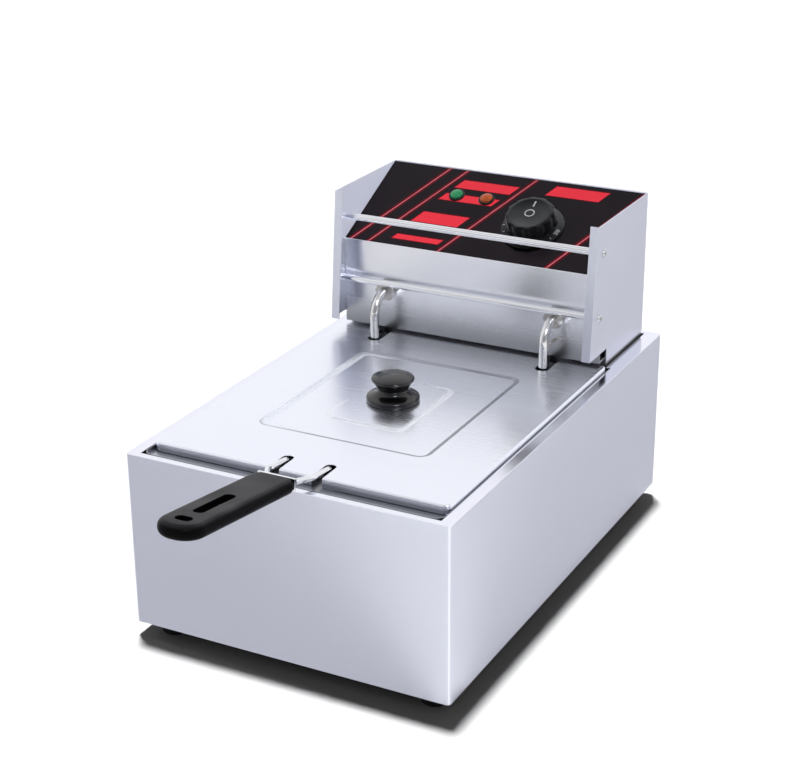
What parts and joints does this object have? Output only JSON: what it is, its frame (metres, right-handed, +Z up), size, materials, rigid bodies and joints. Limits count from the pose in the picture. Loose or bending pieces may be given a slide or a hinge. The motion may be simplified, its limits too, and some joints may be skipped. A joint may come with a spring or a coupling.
{
  "type": "deep fryer",
  "caption": "Countertop electric deep fryer: stainless casing with an oil tank, a lift-out control head with a heating coil, a loose lid with a knob and a wire basket with a long grip.",
  "frame": {"origin": "on the worktop, under the middle of the whole object's box, grip to gland", "axes": "+X to the right seen from the front, +Y from the grip to the rear, +Z up"},
  "size_m": [0.285, 0.5942, 0.298],
  "materials": {
    "casing_steel": "fine brushed stainless sheet",
    "inner_steel": "plain stainless sheet",
    "tank_steel": "drawn stainless, satin",
    "foot_rubber": "moulded rubber",
    "zinc_fastener": "zinc plated",
    "head_steel": "fine brushed stainless sheet",
    "face_steel": "polished stainless sheet",
    "panel_film": "black printed film with red blocks and lines",
    "bright_rod": "bright plated rod",
    "element_sheath": "bright alloy sheath",
    "gland_nickel": "nickel plated brass",
    "terminal_brass": "turned brass",
    "capillary_copper": "drawn copper",
    "clip_steel": "spring steel strip",
    "dark_housing": "moulded heat-proof plastic",
    "cutout_can": "pressed can",
    "green_lens": "clear tinted lens",
    "amber_lens": "clear tinted lens",
    "dial_plastic": "black moulding with white figures",
    "spindle_steel": "ground bar",
    "lid_steel": "bright rolled stainless sheet",
    "knob_plastic": "black moulding",
    "basket_wire": "plated wire mesh",
    "bright_wire": "plated wire",
    "grip_plastic": "dark grey moulding",
    "bracket_steel": "pressed strip"
  },
  "bodies": {
    "base": {"outer_casing": "casing_steel", "base_panel": "inner_steel", "tank_support_frame": "inner_steel", "oil_tank": "tank_steel", "head_bracket_left": "inner_steel", "head_bracket_right": "inner_steel", "foot_front_left": "foot_rubber", "foot_front_right": "foot_rubber", "foot_rear_left": "foot_rubber", "foot_rear_right": "foot_rubber", "foot_screws": "zinc_fastener", "foot_nuts": "zinc_fastener"},
    "head": {"head_floor": "inner_steel", "rod_screws": "zinc_fastener", "element_nuts": "zinc_fastener", "rear_cover_screws": "zinc_fastener", "gland_locknut": "zinc_fastener", "side_panel_left": "head_steel", "side_panel_right": "head_steel", "rear_cover": "head_steel", "front_panel": "face_steel", "panel_overlay": "panel_film", "upper_hanger_rod": "bright_rod", "lower_hanger_rod": "bright_rod", "heating_element": "element_sheath", "element_glands": "gland_nickel", "element_terminals": "terminal_brass", "thermostat_bulb": "capillary_copper", "bulb_clip": "clip_steel", "thermostat_body": "dark_housing", "terminal_block": "dark_housing", "mains_gland": "dark_housing", "high_limit_cutout": "cutout_can", "power_lamp": "green_lens", "heating_lamp": "amber_lens"},
    "knob": {"thermostat_knob": "dial_plastic", "thermostat_shaft": "spindle_steel"},
    "lid": {"lid_panel": "lid_steel", "lid_knob": "knob_plastic", "lid_knob_washer": "zinc_fastener", "lid_knob_screw": "zinc_fastener"},
    "basket": {"basket_mesh": "basket_wire", "basket_rim": "bright_wire", "basket_cradle": "bright_wire", "basket_hook": "bright_wire", "handle_wires": "bright_wire", "handle_grip": "grip_plastic", "handle_bracket": "bracket_steel"}
  },
  "joints": [
    {"name": "head_lift", "type": "slide", "parent": "base", "child": "head", "axis": [0, 0, 1], "range_m": [0, 0.2]},
    {"name": "lid_swing", "type": "hinge", "parent": "head", "child": "lid", "pos_m": [0, 0.18113, 0.2675], "axis": [-1, 0, 0], "range_deg": [0, 60]},
    {"name": "basket_lift", "type": "slide", "parent": "head", "child": "basket", "axis": [0, 0, 1], "range_m": [0, 0.01]},
    {"name": "thermostat_turn", "type": "hinge", "parent": "head", "child": "knob", "pos_m": [0.042, 0.21742, 0.27001], "axis": [0, 0.4363, -0.8998], "range_deg": [0, 270]}
  ]
}
